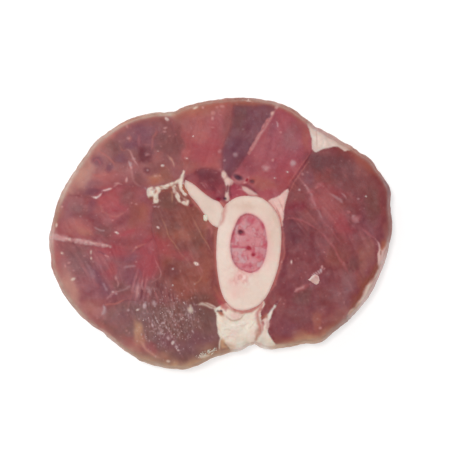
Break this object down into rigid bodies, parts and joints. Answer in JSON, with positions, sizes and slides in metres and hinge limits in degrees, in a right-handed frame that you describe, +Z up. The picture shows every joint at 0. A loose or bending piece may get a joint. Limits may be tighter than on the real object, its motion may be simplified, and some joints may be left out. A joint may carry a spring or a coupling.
{
  "type": "veal shank slice",
  "caption": "Thick cross-cut slice of raw veal shank lying flat, with its shin bone, marrow, side bone, muscles, seam fat and sinew.",
  "frame": {"origin": "on the resting face, under the middle of the slice's box", "axes": "+Z up, from the lower cut face to the upper one; +X along the longest side, towards the large right muscle; +Y towards the fat seam at the upper right"},
  "size_m": [0.1298, 0.1034, 0.0333],
  "materials": {
    "meat": "moist raw red-brown meat, satin, with a dull grey bloom",
    "fat": "pale cream fat, waxy satin",
    "sinew": "whitish sinew and membrane, satin",
    "bone": "sawn pale bone, matte to satin",
    "marrow": "soft pink marrow, moist"
  },
  "bodies": {
    "root": {"shin_bone": "bone", "side_bone": "bone", "marrow": "marrow", "tendon_strands": "sinew", "fascia_left": "sinew", "fascia_top": "sinew", "fat_upper_right": "fat", "fat_beside_bone": "fat", "fat_under_bone": "fat", "fat_under_right": "fat", "fat_by_vessels": "fat", "fat_over_bone": "fat", "fat_right_rim": "fat", "muscle_upper_left": "meat", "muscle_left": "meat", "muscle_lower_left": "meat", "muscle_inner": "meat", "muscle_bottom": "meat", "muscle_top_left": "meat", "muscle_top_dark": "meat", "muscle_top_right": "meat", "muscle_deep": "meat", "muscle_sliver": "meat", "muscle_right": "meat"}
  },
  "joints": []
}
